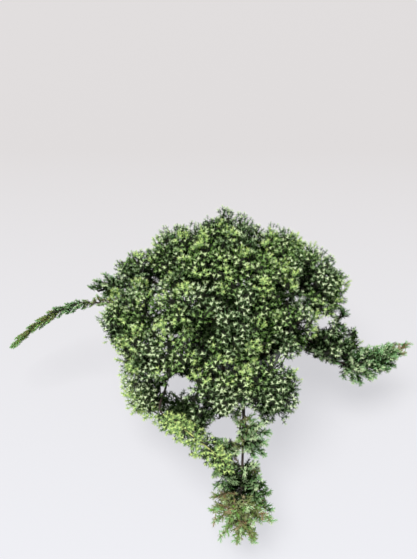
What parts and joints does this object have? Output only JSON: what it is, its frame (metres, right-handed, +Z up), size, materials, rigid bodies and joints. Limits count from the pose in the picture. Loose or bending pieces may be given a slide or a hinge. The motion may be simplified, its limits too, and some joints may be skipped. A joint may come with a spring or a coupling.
{
  "type": "potted nana japanese garden juniper",
  "caption": "Dwarf spreading juniper in a round nursery pot: a dense low mound of prickly needles with long leaders to the left, to the right and over the front.",
  "frame": {"origin": "middle of the pot's flat underside, where it stands", "axes": "+Z up, +X to the plant's right as the picture shows it, -Y towards the front leader"},
  "size_m": [0.5884, 0.4373, 0.2568],
  "materials": {
    "pot": "moulded plastic, satin",
    "soil": "crumbly moist potting mix",
    "bark": "rough flaking bark",
    "foliage": "fresh green and blue-green needles",
    "young_foliage": "yellow-green young needles"
  },
  "bodies": {
    "root": {"pot": "pot", "soil": "soil", "trunk": "bark", "bough_back_left": "bark", "bough_back_right": "bark", "bough_back_top": "bark", "bough_centre": "bark", "bough_centre_lower": "bark", "bough_crown_right": "bark", "bough_front": "bark", "bough_front_centre": "bark", "bough_front_leader": "bark", "bough_front_leader_left": "bark", "bough_front_leader_right": "bark", "bough_front_left": "bark", "bough_front_right": "bark", "bough_left": "bark", "bough_left_hanging": "bark", "bough_left_leader": "bark", "bough_left_lower": "bark", "bough_left_runner": "bark", "bough_left_upper": "bark", "bough_rear": "bark", "bough_rear_left": "bark", "bough_rear_right": "bark", "bough_right_cluster": "bark", "bough_right_leader": "bark", "bough_right_middle": "bark", "bough_right_sprig": "bark", "bough_right_upper": "bark", "bough_yellow_runner": "bark", "foliage_back_left": "foliage", "foliage_back_right": "foliage", "foliage_back_top": "foliage", "foliage_centre": "foliage", "foliage_centre_lower": "foliage", "foliage_crown": "foliage", "foliage_crown_right": "foliage", "foliage_front": "foliage", "foliage_front_centre": "foliage", "foliage_front_leader": "foliage", "foliage_front_leader_left": "foliage", "foliage_front_leader_right": "foliage", "foliage_front_left": "foliage", "foliage_front_right": "foliage", "foliage_left": "foliage", "foliage_left_hanging": "foliage", "foliage_left_leader": "foliage", "foliage_left_lower": "foliage", "foliage_left_runner": "foliage", "foliage_left_upper": "foliage", "foliage_rear": "foliage", "foliage_rear_left": "foliage", "foliage_rear_right": "foliage", "foliage_right_cluster": "foliage", "foliage_right_leader": "foliage", "foliage_right_middle": "foliage", "foliage_right_sprig": "foliage", "foliage_right_upper": "foliage", "foliage_yellow_runner": "young_foliage"}
  },
  "joints": []
}
